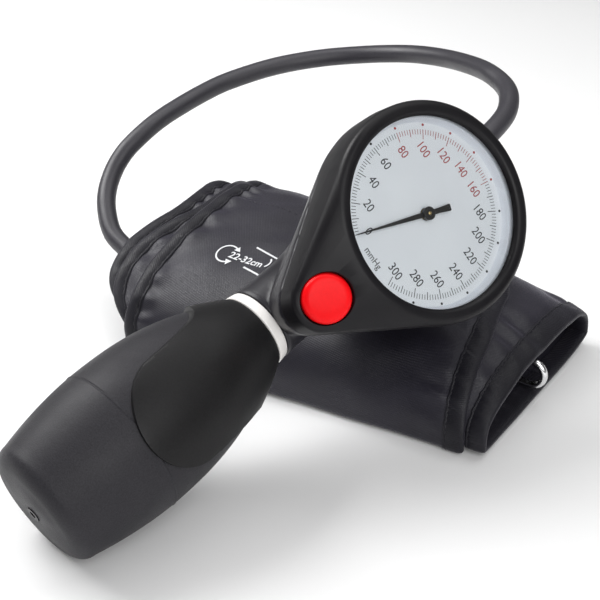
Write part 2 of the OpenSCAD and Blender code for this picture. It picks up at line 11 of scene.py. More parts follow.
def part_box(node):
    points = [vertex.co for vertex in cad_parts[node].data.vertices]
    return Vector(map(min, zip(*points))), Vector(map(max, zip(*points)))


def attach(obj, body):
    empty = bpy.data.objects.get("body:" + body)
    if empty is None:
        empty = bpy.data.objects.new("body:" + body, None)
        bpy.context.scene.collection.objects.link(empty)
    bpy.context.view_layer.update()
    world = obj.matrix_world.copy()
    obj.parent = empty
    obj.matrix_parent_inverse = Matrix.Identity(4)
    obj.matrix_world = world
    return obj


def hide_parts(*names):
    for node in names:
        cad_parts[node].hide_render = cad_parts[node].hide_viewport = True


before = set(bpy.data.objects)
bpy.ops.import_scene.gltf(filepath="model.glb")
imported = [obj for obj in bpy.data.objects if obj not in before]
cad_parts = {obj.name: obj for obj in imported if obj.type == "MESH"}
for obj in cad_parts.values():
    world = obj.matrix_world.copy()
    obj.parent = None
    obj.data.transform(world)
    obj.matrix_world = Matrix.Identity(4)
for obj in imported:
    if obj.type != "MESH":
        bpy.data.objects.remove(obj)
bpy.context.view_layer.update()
MM = 0.001


# ---------- places ----------

def box_corner(node):
    low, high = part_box(node)
    return Vector(low), Vector(high)


# The cuff's right front corner on the floor, from which the cuff and the hose are measured
CUFF_DEPTH = 88 * MM
CORNER = Vector((box_corner("cuff_middle_wrap")[1].x, box_corner("cuff_outer_wrap")[1].y - CUFF_DEPTH, 0))
TURN = (
    Matrix.Rotation(radians(-13.1), 3, "Z")
    @ Matrix.Rotation(radians(17.1), 3, "X")
    @ Matrix.Rotation(radians(57.25), 3, "Y")
)
dial_low, dial_high = box_corner("dial_plate")
DIAL = (dial_low + dial_high) / 2 + TURN @ Vector((0, 0, 0.3 * MM))

# UNIT is the dial's frame in millimetres. AXIS runs from the dial through neck and bulb, AXIS_Z behind the
# dial. END_Y is where the head's narrow end and the button are centred, below the dial. CUFF is the roll's
# frame, from its corner.
AXIS_Z = -30
END_Y = -45
BUTTON_TILT = 23
END_TILT = 10
UNIT = Matrix.Translation(DIAL) @ TURN.to_4x4() @ Matrix.Scale(MM, 4)
AXIS = UNIT @ Matrix.Translation((0, 0, AXIS_Z)) @ Matrix.Rotation(radians(90), 4, "X")
BUTTON = UNIT @ Matrix.Translation((0, END_Y, 0)) @ Matrix.Rotation(radians(BUTTON_TILT), 4, "X")
CUFF = Matrix.Translation(CORNER) @ Matrix.Scale(MM, 4)


def camera():
    """The photo's viewing angle: 30 degrees down, from the front right."""
    data = bpy.data.cameras.new("camera")
    data.angle = radians(26)
    data.clip_start = 0.01
    obj = bpy.data.objects.new("camera", data)
    obj.location = CORNER + Vector((0.1373, -0.3150, 0.2546))
    obj.rotation_euler = (radians(60), 0, radians(33.4))
    bpy.context.scene.collection.objects.link(obj)
    bpy.context.scene.camera = obj


# ---------- mesh tools ----------

def link(name, mesh):
    obj = bpy.data.objects.new(name, mesh)
    bpy.context.scene.collection.objects.link(obj)
    return obj


def mesh_object(name, points, faces, place, angle=40, uv=None):
    """A mesh in the row frame, smooth except at edges sharper than the angle."""
    mesh = bpy.data.meshes.new(name)
    mesh.from_pydata([tuple(float(c) for c in p) for p in points], [], faces)
    if uv is not None:
        layer = mesh.uv_layers.new(name="uv")
        for loop in mesh.loops:
            layer.data[loop.index].uv = uv[loop.vertex_index]
    mesh.transform(place)
    smooth(mesh, angle)
    return link(name, mesh)


def smooth(mesh, angle):
    for polygon in mesh.polygons:
        polygon.use_smooth = True
    mesh.set_sharp_from_angle(angle=radians(angle))


def grid_faces(rows, cols, wrap_cols=False, flip=False):
    faces = []
    for i in range(rows - 1):
        for j in range(cols if wrap_cols else cols - 1):
            k = (j + 1) % cols
            face = (i * cols + j, i * cols + k, (i + 1) * cols + k, (i + 1) * cols + j)
            faces.append(face[::-1] if flip else face)
    return faces


def revolved(name, profile, place, sides=128, angle=40):
    """A solid turned from (radius, height) points: a ring if the profile closes, else capped."""
    closed = profile[0] == profile[-1]
    rows = profile[:-1] if closed else profile
    points = [
        (r * cos(2 * pi * k / sides), r * sin(2 * pi * k / sides), h)
        for r, h in rows for k in range(sides)
    ]
    faces = grid_faces(len(rows), sides, wrap_cols=True)
    if closed:
        last = (len(rows) - 1) * sides
        faces += [(last + k, last + (k + 1) % sides, (k + 1) % sides, k) for k in range(sides)]
    obj = mesh_object(name, points, faces, Matrix.Identity(4), angle)
    tidy(obj, place, angle)
    return obj


def tidy(obj, place, angle=40, merge=1e-5):
    """Merges doubled points, closes the ends, turns the faces outward and puts the mesh in its place."""
    bm = bmesh.new()
    bm.from_mesh(obj.data)
    bmesh.ops.remove_doubles(bm, verts=bm.verts, dist=merge)
    bmesh.ops.holes_fill(bm, edges=[e for e in bm.edges if e.is_boundary])
    bmesh.ops.recalc_face_normals(bm, faces=bm.faces)
    bm.to_mesh(obj.data)
    bm.free()
    obj.data.transform(place)
    smooth(obj.data, angle)


def hull(name, points, place):
    """The convex hull of the points."""
    mesh = bpy.data.meshes.new(name)
    bm = bmesh.new()
    for p in points:
        bm.verts.new(p)
    found = bmesh.ops.convex_hull(bm, input=bm.verts)
    spare = set(found["geom_interior"]) | set(found["geom_unused"])
    bmesh.ops.delete(bm, geom=[g for g in spare if isinstance(g, bmesh.types.BMVert)], context="VERTS")
    bmesh.ops.recalc_face_normals(bm, faces=bm.faces)
    bm.to_mesh(mesh)
    bm.free()
    mesh.transform(place)
    smooth(mesh, 30)
    return link(name, mesh)


def settle(obj, angle=40):
    """Applies the object's modifiers to its mesh."""
    bpy.context.view_layer.update()
    graph = bpy.context.evaluated_depsgraph_get()
    mesh = bpy.data.meshes.new_from_object(obj.evaluated_get(graph), depsgraph=graph)
    old = obj.data
    obj.modifiers.clear()
    obj.data = mesh
    mesh.name = obj.name
    bpy.data.meshes.remove(old)
    smooth(mesh, angle)


def cut(obj, cutter, angle=35):
    """Takes the cutter out of the object, and removes the cutter."""
    modifier = obj.modifiers.new("cut", "BOOLEAN")
    modifier.operation = "DIFFERENCE"
    modifier.solver = "EXACT"
    modifier.object = cutter
    settle(obj, angle)
    bpy.data.objects.remove(cutter)


def thicken(obj, name, thickness, offset=-1):
    """Gives a sheet its wall, in millimetres."""
    wall = obj.modifiers.new(name, "SOLIDIFY")
    wall.thickness = thickness * MM
    wall.offset = offset


def rounded(obj, width):
    """Rounds the edges sharper than 50 degrees."""
    modifier = obj.modifiers.new("edge", "BEVEL")
    modifier.width = width * MM
    modifier.segments = 3
    modifier.limit_method = "ANGLE"
    modifier.angle_limit = radians(50)
    modifier.miter_outer = "MITER_ARC"
    settle(obj, 50)


def turns(count):
    """Angles that go evenly once round."""
    return np.linspace(0, 2 * pi, count, endpoint=False)


def ring_points(r, y, z):
    return [(r * cos(a), y + r * sin(a), z) for a in turns(180)]


def spline(points, steps=8):
    """Points of a Catmull-Rom curve through the given ones."""
    pts = [Vector(p) for p in points]
    pts = [2 * pts[0] - pts[1], *pts, 2 * pts[-1] - pts[-2]]
    out = []
    for i in range(1, len(pts) - 2):
        a, b, c, d = pts[i - 1:i + 3]
        for k in range(steps):
            t = k / steps
            cubic = (3 * b - a - 3 * c + d) * t ** 3
            out.append(0.5 * (2 * b + (c - a) * t + (2 * a - 5 * b + 4 * c - d) * t * t + cubic))
    return [*out, pts[-2]]


def tube(name, path, radius, sides=28, closed=False):
    """A round tube along a path in the row frame, in metres."""
    count = len(path)
    tangents = []
    for i in range(count):
        after = path[(i + 1) % count] if closed else path[min(i + 1, count - 1)]
        before = path[i - 1] if closed else path[max(i - 1, 0)]
        tangents.append((after - before).normalized())
    side = tangents[0].orthogonal().normalized()
    points = []
    for p, t in zip(path, tangents):
        side = (side - t * side.dot(t)).normalized()
        over = t.cross(side)
        points += [p + radius * (side * cos(a) + over * sin(a)) for a in turns(sides)]
    faces = grid_faces(count, sides, wrap_cols=True)
    if closed:
        last = (count - 1) * sides
        shift = min(range(sides), key=lambda s: (points[last] - points[s]).length)
        for k in range(sides):
            j = (k + 1) % sides
            faces.append((last + k, last + j, (j + shift) % sides, (k + shift) % sides))
    obj = mesh_object(name, points, faces, Matrix.Identity(4))
    tidy(obj, Matrix.Identity(4), 50, 1e-7)
    return obj


# ---------- material tools ----------

class Nodes:
    """A material's node tree with a Principled shader, built up one step at a time."""

    def __init__(self, name):
        self.material = bpy.data.materials.new(name)
        self.material.use_nodes = True
        self.tree = self.material.node_tree
        self.shader = self.tree.nodes["Principled BSDF"]
        self.place = self.add("ShaderNodeTexCoord").outputs["Object"]

    def add(self, kind, **settings):
        node = self.tree.nodes.new(kind)
        for key, value in settings.items():
            setattr(node, key, value)
        return node

    def join(self, a, b):
        self.tree.links.new(a, b)

    def noise(self, scale, detail=3, rough=0.55, vector=None):
        node = self.add("ShaderNodeTexNoise")
        node.inputs["Scale"].default_value = scale
        node.inputs["Detail"].default_value = detail
        node.inputs["Roughness"].default_value = rough
        self.join(vector or self.place, node.inputs["Vector"])
        return node.outputs["Fac"]

    def ramp(self, source, low, high, from_=0.35, to=0.65):
        """The source spread from one value or colour to another."""
        node = self.add("ShaderNodeValToRGB")
        node.color_ramp.elements[0].position = from_
        node.color_ramp.elements[1].position = to
        for element, value in zip(node.color_ramp.elements, (low, high)):
            element.color = (*value, 1) if isinstance(value, tuple) else (value, value, value, 1)
        self.join(source, node.inputs["Fac"])
        return node.outputs["Color"]

    def math(self, operation, a, b=None):
        node = self.add("ShaderNodeMath", operation=operation)
        for socket, value in zip(node.inputs, (a, b)):
            if isinstance(value, (int, float)):
                socket.default_value = value
            elif value is not None:
                self.join(value, socket)
        return node.outputs[0]

    def mix(self, share, a, b):
        node = self.add("ShaderNodeMix", data_type="RGBA")
        for socket, value in zip((node.inputs[0], node.inputs[6], node.inputs[7]), (share, a, b)):
            if isinstance(value, tuple):
                socket.default_value = (*value, 1)
            elif isinstance(value, (int, float)):
                socket.default_value = value
            else:
                self.join(value, socket)
        return node.outputs[2]

    def bump(self, height, depth, strength=1.0, after=None):
        node = self.add("ShaderNodeBump")
        node.inputs["Distance"].default_value = depth
        node.inputs["Strength"].default_value = strength
        self.join(height, node.inputs["Height"])
        if after is not None:
            self.join(after, node.inputs["Normal"])
        return node.outputs["Normal"]

    def finish(self, color=None, rough=None, normal=None, **values):
        for name, value in (("Base Color", color), ("Roughness", rough), ("Normal", normal)):
            if isinstance(value, tuple):
                self.shader.inputs[name].default_value = (*value, 1)
            elif isinstance(value, (int, float)):
                self.shader.inputs[name].default_value = value
            elif value is not None:
                self.join(value, self.shader.inputs[name])
        for name, value in values.items():
            self.shader.inputs[name.replace("_", " ")].default_value = value
        return self.material


def moulded(name, dark, light, rough, grain=2500, depth=0.00004, shine=0.5):
    """Moulded plastic or rubber: a fine grain, and colour and gloss that vary a little over the piece."""
    n = Nodes(name)
    grainy = n.noise(grain, 4, 0.6)
    wide = n.noise(60, 3)
    color = n.mix(grainy, dark, light)
    gloss = n.ramp(wide, max(rough - 0.06, 0.02), rough + 0.07)
    return n.finish(color, gloss, n.bump(grainy, depth, 0.5), Specular_IOR_Level=shine)


def metal(name, color, rough, stretch):
    """Machined metal with fine marks of the tool."""
    n = Nodes(name)
    spread = n.add("ShaderNodeMapping")
    spread.inputs["Scale"].default_value = stretch
    n.join(n.place, spread.inputs["Vector"])
    marks = n.noise(900, 4, 0.6, spread.outputs["Vector"])
    gloss = n.ramp(marks, max(rough - 0.04, 0.01), rough + 0.08)
    dull = tuple(c * 0.82 for c in color)
    return n.finish(n.mix(marks, dull, color), gloss, n.bump(marks, 0.00001, 0.3), Metallic=1.0)


def cloth(name, dark, light, rough, pitch, sheen, shine):
    """Fine twill: diagonal ribs from the sheet's own measure, with slubs, and broad lighter patches of
    painted sheen.
    """
    n = Nodes(name)
    uv = n.add("ShaderNodeUVMap", uv_map="uv").outputs["UV"]
    waves = []
    for angle in (0.9, -0.67):
        turn = n.add("ShaderNodeMapping", vector_type="TEXTURE")
        turn.inputs["Rotation"].default_value = (0, 0, angle)
        n.join(uv, turn.inputs["Vector"])
        wave = n.add("ShaderNodeTexWave", wave_type="BANDS", bands_direction="X", wave_profile="SIN")
        wave.inputs["Scale"].default_value = 0.314 / (pitch * MM)
        wave.inputs["Distortion"].default_value = 0.6
        wave.inputs["Detail"].default_value = 1.0
        n.join(turn.outputs["Vector"], wave.inputs["Vector"])
        waves.append(wave.outputs["Fac"])
    weave = n.math("MULTIPLY", waves[0], n.math("ADD", n.math("MULTIPLY", waves[1], 0.5), 0.5))
    fuzz = n.noise(1400, 4, 0.65)
    wide = n.noise(38, 4, 0.55)
    # Broad patches between the dark and light colour, from the wide noise: painted sheen.
    painted_sheen_base = n.mix(n.ramp(wide, 0.0, 1.0, 0.3, 0.72), dark, light)
    ribs = n.mix(n.math("MULTIPLY", weave, 0.5), painted_sheen_base, tuple(c * 1.9 for c in light))
    color = n.mix(n.math("MULTIPLY", fuzz, 0.35), ribs, tuple(c * 0.45 for c in dark))
    gloss = n.ramp(fuzz, rough - 0.1, rough + 0.12)
    creased = n.bump(n.noise(170, 3, 0.5), 0.0006, 0.22)
    normal = n.bump(weave, 0.00012, 0.5, creased)
    return n.finish(
        color, gloss, n.bump(fuzz, 0.00005, 0.4, normal), Sheen_Weight=sheen, Sheen_Roughness=0.45,
        Sheen_Tint=(0.86, 0.82, 1.0, 1), Specular_IOR_Level=shine,
    )


def dial_paint():
    """Satin aluminium-white plate whose tone varies a little at random, with very fine brushing."""
    n = Nodes("dial_face")
    fine = n.noise(5200, 3, 0.6)
    wide = n.noise(45, 2)
    tone = n.mix(n.ramp(wide, 0.0, 1.0), (0.90, 0.915, 0.94), (0.94, 0.955, 0.975))
    color = n.mix(n.math("MULTIPLY", fine, 0.25), tone, (0.97, 0.975, 0.985))
    return n.finish(color, n.ramp(fine, 0.38, 0.52), n.bump(fine, 0.00001, 0.3), Metallic=0.15)


def clear_lens():
    """Thin clear plastic: light passes, and the surface shines at a slant, with faint wiping marks."""
    n = Nodes("lens_clear")
    passing = n.add("ShaderNodeBsdfTransparent")
    passing.inputs["Color"].default_value = (0.97, 0.98, 0.985, 1)
    gloss = n.add("ShaderNodeBsdfGlossy")
    n.join(n.ramp(n.noise(120, 3), 0.03, 0.09), gloss.inputs["Roughness"])
    edge = n.add("ShaderNodeFresnel")
    edge.inputs["IOR"].default_value = 1.4
    mixed = n.add("ShaderNodeMixShader")
    n.join(edge.outputs[0], mixed.inputs[0])
    n.join(passing.outputs[0], mixed.inputs[1])
    n.join(gloss.outputs[0], mixed.inputs[2])
    n.join(mixed.outputs[0], n.tree.nodes["Material Output"].inputs["Surface"])
    n.tree.nodes.remove(n.shader)
    return n.material


def ink(name, color, rough):
    """Printing ink, a little uneven."""
    n = Nodes(name)
    spots = n.noise(2600, 4, 0.6)
    thin = tuple(min(1.0, c * 0.8 + 0.02) for c in color)
    uneven = n.mix(n.math("MULTIPLY", spots, 0.5), color, thin)
    return n.finish(uneven, n.ramp(spots, rough - 0.08, rough + 0.08))


def chrome():
    n = Nodes("ring_chrome")
    hair = n.noise(2200, 4, 0.6)
    return n.finish((0.86, 0.86, 0.87), n.ramp(hair, 0.12, 0.24), n.bump(hair, 0.000006, 0.4), Metallic=1.0)


# Dark and light colour, roughness, scale and depth of the grain, specular level
MOULDED = {
    "head_plastic": ((0.003, 0.0028, 0.0035), (0.010, 0.009, 0.0115), 0.42, 2600, 0.00003, 0.24),
    # Same black plastic as the front shell; its lighter colour is painted light, for the key light on the
    # head's side and neck.
    "rear_plastic": ((0.010, 0.0095, 0.012), (0.026, 0.0245, 0.031), 0.34, 2600, 0.00003, 0.34),
    "bulb_rubber": ((0.007, 0.0068, 0.008), (0.040, 0.038, 0.045), 0.52, 2300, 0.00016, 0.22),
    "sleeve_rubber": ((0.004, 0.0038, 0.004), (0.014, 0.0135, 0.0145), 0.46, 1800, 0.00006, 0.22),
    "hose_rubber": ((0.022, 0.021, 0.026), (0.052, 0.049, 0.059), 0.42, 1500, 0.00003),
    "dark_rubber": ((0.012, 0.012, 0.014), (0.030, 0.030, 0.034), 0.60),
    "inner_plastic": ((0.020, 0.020, 0.024), (0.045, 0.045, 0.050), 0.45),
    "button_red": ((0.84, 0.003, 0.006), (0.96, 0.006, 0.010), 0.34, 900, 0.000008, 0.16),
    "ring_white": ((0.80, 0.77, 0.745), (0.88, 0.86, 0.84), 0.42, 1800, 0.00002),
    "thread": ((0.016, 0.0155, 0.020), (0.036, 0.034, 0.042), 0.45, 3000, 0.00003),
    "surround": ((0.86, 0.885, 0.95), (0.92, 0.94, 0.98), 0.3, 1500, 0.00001),
    "pointer_black": ((0.010, 0.009, 0.008), (0.028, 0.026, 0.024), 0.42),
}

# Dark and light colour (the light one also paints the broad sheen patches), roughness, millimetres between
# ribs, sheen, specular level
CLOTHS = {
    "cuff_cloth": ((0.0050, 0.0045, 0.0080), (0.015, 0.0135, 0.023), 0.44, 0.6, 0.14, 0.42),
    "cuff_tape": ((0.0036, 0.0033, 0.0052), (0.010, 0.0094, 0.0145), 0.48, 0.7, 0.09, 0.30),
}

# Colour, roughness, stretch of the tool's marks
METALS = {
    "steel": ((0.62, 0.62, 0.64), 0.28, (1, 1, 6)),
    "block_metal": ((0.72, 0.72, 0.74), 0.32, (5, 1, 1)),
    "brass": ((0.80, 0.58, 0.26), 0.30, (1, 4, 1)),
}

# Colour and roughness
INKS = {
    "ink_black": ((0.018, 0.018, 0.020), 0.5),
    "ink_red": ((0.42, 0.045, 0.045), 0.5),
    "ink_white": ((0.82, 0.83, 0.85), 0.6),
}


def materials():
    made = {"dial_face": dial_paint(), "lens_clear": clear_lens(), "ring_chrome": chrome()}
    for maker, rows in ((moulded, MOULDED), (cloth, CLOTHS), (metal, METALS), (ink, INKS)):
        made.update({name: maker(name, *row) for name, row in rows.items()})
    return made


def paint(obj, material):
    obj.data.materials.clear()
    obj.data.materials.append(material)


def put(obj, material, body="monitor", replaces=()):
    """Paints a piece, and joins it to its body."""
    paint(obj, material)
    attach(obj, body)
    if replaces:
        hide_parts(*replaces)
    return obj


# ---------- hose ----------

HOSE_R = 3.7
HOSE = [
    (-40, 76, 78), (-41, 89, 80), (-45.1, 99.9, 82), (-51.8, 109.3, 82.2), (-60.9, 117.2, 82.2),
    (-70, 124.8, 80.7), (-80, 131.8, 78.7), (-90.1, 138.3, 76.4), (-101, 143.1, 74.2), (-112, 146, 72),
    (-123.9, 145.9, 69.8), (-135, 143, 68), (-146.2, 137.2, 66.5), (-155.2, 129.1, 65.4),
    (-162.3, 119.2, 64.5), (-168.1, 109.1, 63.2), (-173.6, 97.8, 61.4), (-176.1, 86.8, 59.9),
    (-178.1, 74.9, 58), (-180, 63.5, 55.5), (-181.4, 53.6, 52.2), (-182.9, 44.5, 47.6), (-183, 37, 42),
    (-180.3, 29.3, 36.5), (-175.2, 22.8, 31.5), (-168.1, 17.6, 26.5), (-158.5, 15, 23), (-149.5, 12, 20.2),
    (-140, 9, 18.5), (-131, 6.5, 18),
]


def hose(paints):
    """The stiff rubber hose, seen whole: from the strain relief behind the dial into the roll."""
    start = [UNIT @ Vector((0, y, AXIS_Z)) for y in (50.1, 54)]
    path = spline(start + [CORNER + Vector(p) * MM for p in HOSE], 6)
    obj = tube("air_hose_rubber", path, HOSE_R * MM, 32)
    put(obj, paints["hose_rubber"], replaces=["air_hose"])


# ---------- head ----------

SEAM_Z = -10.25
SHELL_WALL = 1.5


def head_front(paints):
    """The front shell: a round rim run out to the button's end, bored for the dial and the button."""
    points = ring_points(33.9, 0, -10) + ring_points(34.25, 0, -9.65) + ring_points(35, 0, -2)
    points += ring_points(10.0, END_Y, -10) + ring_points(10.35, END_Y, -9.65)
    for a in np.linspace(0, pi / 2, 9):
        points += ring_points(32.6 + 2.4 * cos(a), 0, 4.2 + 2.4 * sin(a))
    tilted = Matrix.Translation((0, END_Y, 0)) @ Matrix.Rotation(radians(END_TILT), 4, "X")
    end = ring_points(10.4, 0, -6)
    for a in np.linspace(0, pi / 2, 9):
        end += ring_points(8.2 + 2.2 * cos(a), 0, -3.2 + 2.2 * sin(a))
    points += [tuple(tilted @ Vector(p)) for p in end]
    obj = hull("head_front_shell", points, UNIT)
    opening = [
        (0, -14), (32.2, -14), (32.2, 4.55), (30.0, 4.55), (30.05, 5.1), (30.3, 5.8), (30.8, 6.35),
        (31.5, 6.62), (31.9, 7.4), (0, 7.4),
    ]
    cut(obj, revolved("cutter", opening, UNIT, 240))
    hole = [(0, -20), (8.05, -20), (8.05, 0.3), (8.3, 0.9), (8.9, 1.3), (9.6, 1.5), (9.6, 12), (0, 12)]
    cut(obj, revolved("cutter", hole, BUTTON, 128))
    put(obj, paints["head_plastic"], replaces=["front_shell"])


def head_rear(paints):
    """The deep back of the head, blended into the neck that carries the bulb."""
    points = []
    for big, small, z in ((34.15, 10.3, -10.2), (33.3, 10.2, -13), (31.3, 9.9, -17.5)):
        points += ring_points(big, 0, z) + ring_points(small, END_Y, z)
    for r, z in ((24.4, -33.5), (21.6, -41), (20.9, -42.7), (20.0, -43.7), (18.8, -44)):
        points += ring_points(r, 0, z)
    obj = hull("head_rear_shell", points, UNIT)
    neck = [(0, 0), (18.4, 0), (18.2, 14)]
    neck += [(12.4 + 5.6 * (1 - t) ** 2, 16 + 24 * t) for t in np.linspace(0.05, 1, 12)]
    neck += [(12.4, 54.3), (0, 54.3)]
    neck_piece = revolved("neck", neck, AXIS)
    merged = bmesh.new()
    merged.from_mesh(obj.data)
    merged.from_mesh(neck_piece.data)
    merged.to_mesh(obj.data)
    merged.free()
    bpy.data.objects.remove(neck_piece)
    remesh = obj.modifiers.new("remesh", "REMESH")
    remesh.mode = "VOXEL"
    remesh.voxel_size = 0.75 * MM
    relax = obj.modifiers.new("relax", "SMOOTH")
    relax.factor = 0.5
    relax.iterations = 14
    settle(obj, 60)
    bm = bmesh.new()
    bm.from_mesh(obj.data)
    bmesh.ops.bisect_plane(
        bm, geom=[*bm.verts, *bm.edges, *bm.faces], dist=1e-7,
        plane_co=UNIT @ Vector((0, 0, SEAM_Z)), plane_no=TURN @ Vector((0, 0, 1)), clear_outer=True,
    )
    bm.to_mesh(obj.data)
    bm.free()
    smooth(obj.data, 60)
    thicken(obj, "wall", SHELL_WALL)
    settle(obj, 60)
    cut(obj, revolved("cutter", [(0, 47), (10.4, 47), (10.4, 58), (0, 58)], AXIS), 60)
    # The rear shell's lighter colour is painted light on the same black plastic as the front.
    put(obj, paints["rear_plastic"], replaces=["rear_shell"])
    lip = [
        (11.0, 52.6), (12.45, 52.6), (12.62, 52.8), (12.62, 54.1), (12.45, 54.35), (11.0, 54.35),
        (11.0, 52.6),
    ]
    put(revolved("neck_lip", lip, AXIS), paints["rear_plastic"])


def button(paints):
    cap = [
        (0, 2.0), (3.4, 1.96), (5.4, 1.84), (6.3, 1.68), (6.9, 1.38), (7.35, 0.9), (7.7, 0.2), (7.8, -0.6),
        (7.8, -5.4), (6.2, -5.4), (6.2, -2.1), (1.5, -2.1), (0, -2.1),
    ]
    obj = revolved("release_button_cap", cap, BUTTON)
    put(obj, paints["button_red"], "button", ["release_button"])


# ---------- dial ----------

FULL_SCALE = 300
NUMBER_STEP = 20
STEP_ANGLE = 21.3
ZERO = 90 + 7.5 * STEP_ANGLE
RED = range(80, 161)
TICK_END = 26.7
DOT_AT, DOT_R = 28.2, 0.42
INK_LOW, INK_TOP = 0.02, 0.05


def dial_angle(value):
    return radians(ZERO - value * STEP_ANGLE / NUMBER_STEP)


def plate(outline, z0, z1, x=0.0, y=0.0, angle=0.0):
    """A flat shape with straight walls, turned and moved: its points and faces."""
    c, s = cos(angle), sin(angle)
    count = len(outline)
    points = [(x + p * c - q * s, y + p * s + q * c, z) for z in (z0, z1) for p, q in outline]
    faces = [(k, (k + 1) % count, count + (k + 1) % count, count + k) for k in range(count)]
    return points, faces + [tuple(range(count - 1, -1, -1)), tuple(range(count, 2 * count))]


def merged(parts):
    """The points and faces of several parts in one list each."""
    points, faces = [], []
    for more_points, more_faces in parts:
        faces += [tuple(len(points) + k for k in face) for face in more_faces]
        points += more_points
    return points, faces


def lettering(words, size, thick=0.02, bold=0.0):
    """A generic word or number as a mesh: its points, centred, and its faces."""
    curve = bpy.data.curves.new("word", "FONT")
    curve.body = words
    curve.size = size
    curve.extrude = thick
    curve.offset = bold
    curve.resolution_u = 3
    curve.align_x, curve.align_y = "CENTER", "CENTER"
    obj = link("word", curve)
    bpy.context.view_layer.update()
    graph = bpy.context.evaluated_depsgraph_get()
    mesh = bpy.data.meshes.new_from_object(obj.evaluated_get(graph), depsgraph=graph)
    points = [tuple(v.co) for v in mesh.vertices]
    middle = (min(p[1] for p in points) + max(p[1] for p in points)) / 2
    points = [(p[0], p[1] - middle, p[2]) for p in points]
    faces = [tuple(p.vertices) for p in mesh.polygons]
    bpy.data.objects.remove(obj)
    bpy.data.meshes.remove(mesh)
    bpy.data.curves.remove(curve)
    return points, faces


def moved(part, x, y, z=0.0, squeeze=1.0):
    points, faces = part
    return [(p[0] * squeeze + x, p[1] + y, p[2] + z) for p in points], faces


def dial(paints):
    """The dial's paint and printing, its pale surround and the pointer's hub, pin and tail."""
    paint(bpy.data.objects["dial_plate"], paints["dial_face"])
    parts = {"ink_black": [], "ink_red": []}
    for value in range(0, FULL_SCALE + 1, 2):
        inner = 23.6 if value % NUMBER_STEP == 0 else 24.3 if value % 10 == 0 else 25.1
        half = 0.11 if value % 10 == 0 else 0.085
        tick = [(inner, -half), (TICK_END, -half), (TICK_END, half), (inner, half)]
        color = "ink_red" if value in RED else "ink_black"
        parts[color].append(plate(tick, INK_LOW, INK_TOP, angle=dial_angle(value)))
    for value in range(0, FULL_SCALE + 1, NUMBER_STEP):
        angle = dial_angle(value)
        color = "ink_red" if value in RED else "ink_black"
        number = lettering(str(value), 4.3)
        r = 21.6 if value in (0, FULL_SCALE) else 20.5
        parts[color].append(moved(number, r * cos(angle), r * sin(angle), 0.03, 0.84))
        if 0 < value < FULL_SCALE:
            dot = [(DOT_R * cos(a), DOT_R * sin(a)) for a in turns(16)]
            x, y = DOT_AT * cos(angle), DOT_AT * sin(angle)
            parts[color].append(plate(dot, INK_LOW, INK_TOP, x, y))
    parts["ink_black"].append(moved(lettering("mmHg", 3.2), -0.2, -24.6, 0.03, 0.88))
    for color, found in parts.items():
        put(mesh_object(f"dial_print_{color}", *merged(found), UNIT), paints[color])
    rim = [
        (28.9, 0.02), (29.25, 0.5), (29.7, 1.6), (29.95, 2.85), (31.6, 2.85), (31.6, 0.02), (28.9, 0.02),
    ]
    put(revolved("dial_surround", rim, UNIT, 180), paints["surround"], replaces=["lens_gasket"])
    paint(bpy.data.objects["pointer"], paints["pointer_black"])
    hub = [
        (0.62, 1.9), (1.9, 1.9), (2.1, 2.02), (2.15, 2.2), (1.95, 2.42), (1.2, 2.5), (0.62, 2.45),
        (0.62, 1.9),
    ]
    put(revolved("pointer_hub", hub, UNIT, 64), paints["pointer_black"], "pointer")
    pin = [(0, 2.1), (0.58, 2.1), (0.58, 2.5), (0.42, 2.66), (0, 2.7)]
    put(revolved("pointer_pin", pin, UNIT, 48), paints["brass"], "pointer")
    tail = [
        (0.0, -0.5), (3.0, -0.75), (8.2, -1.15), (8.6, -0.9), (8.6, 0.9), (8.2, 1.15), (3.0, 0.75),
        (0.0, 0.5),
    ]
    points, faces = plate(tail, 1.25, 1.75, angle=radians(ZERO + 180))
    put(mesh_object("pointer_tail", points, faces, UNIT), paints["pointer_black"], "pointer")


# ---------- bulb ----------

BULB_START, BULB_END = 58.6, 145.5
WIDEST_AT, WIDEST_R = 109.7, 24.2
SEAM_AT = 112.6


def bulb_radius(d):
    t = abs(d - WIDEST_AT) / 37.3
    return WIDEST_R * (1 - 0.255 * t ** (2.35 if d < WIDEST_AT else 1.85))


def seamed(d, height, width):
    """A point of the bulb's outline, with the moulding seam's small ridge."""
    return bulb_radius(d) + height * exp(-((d - SEAM_AT) / width) ** 2), d


def bulb(paints):
    """The hollow rubber bulb, widest past its middle, with a small hole in its end."""
    edge = BULB_END - 6
    outer = [seamed(d, 0.16, 0.35) for d in np.arange(BULB_START, edge, 1.2)]
    outer += [seamed(d, 0.17, 0.3) for d in np.arange(111.8, 113.4, 0.1)]
    outer.sort(key=lambda p: p[1])
    r = bulb_radius(edge)
    corner = np.linspace(0.1, pi / 2, 12)
    outer += [(r - 6.25 * (1 - cos(a)), edge + 5 * sin(a)) for a in corner]
    outer += [(r - 9, BULB_END - 0.7), (9.5, BULB_END - 0.45), (4.0, BULB_END - 0.3), (2.3, BULB_END - 0.3)]
    outer += [(1.95, BULB_END - 0.4), (1.8, BULB_END - 0.7), (1.8, BULB_END - 2.6)]
    inner = [(r - 8, BULB_END - 2.8), (r - 2.6, edge - 1)]
    inner += [(bulb_radius(d) - 2.4, d) for d in np.arange(edge - 4, 74, -5)]
    inner += [(10.1, 71), (9.3, 64), (9.3, BULB_START)]
    profile = outer + inner + [outer[0]]
    obj = revolved("bulb_rubber_body", profile, AXIS, 160, 50)
    put(obj, paints["bulb_rubber"], replaces=["bulb"])


def prism(name, outline, z0, z1):
    obj = mesh_object(name, *plate(outline, z0, z1), Matrix.Identity(4))
    tidy(obj, UNIT)
    return obj


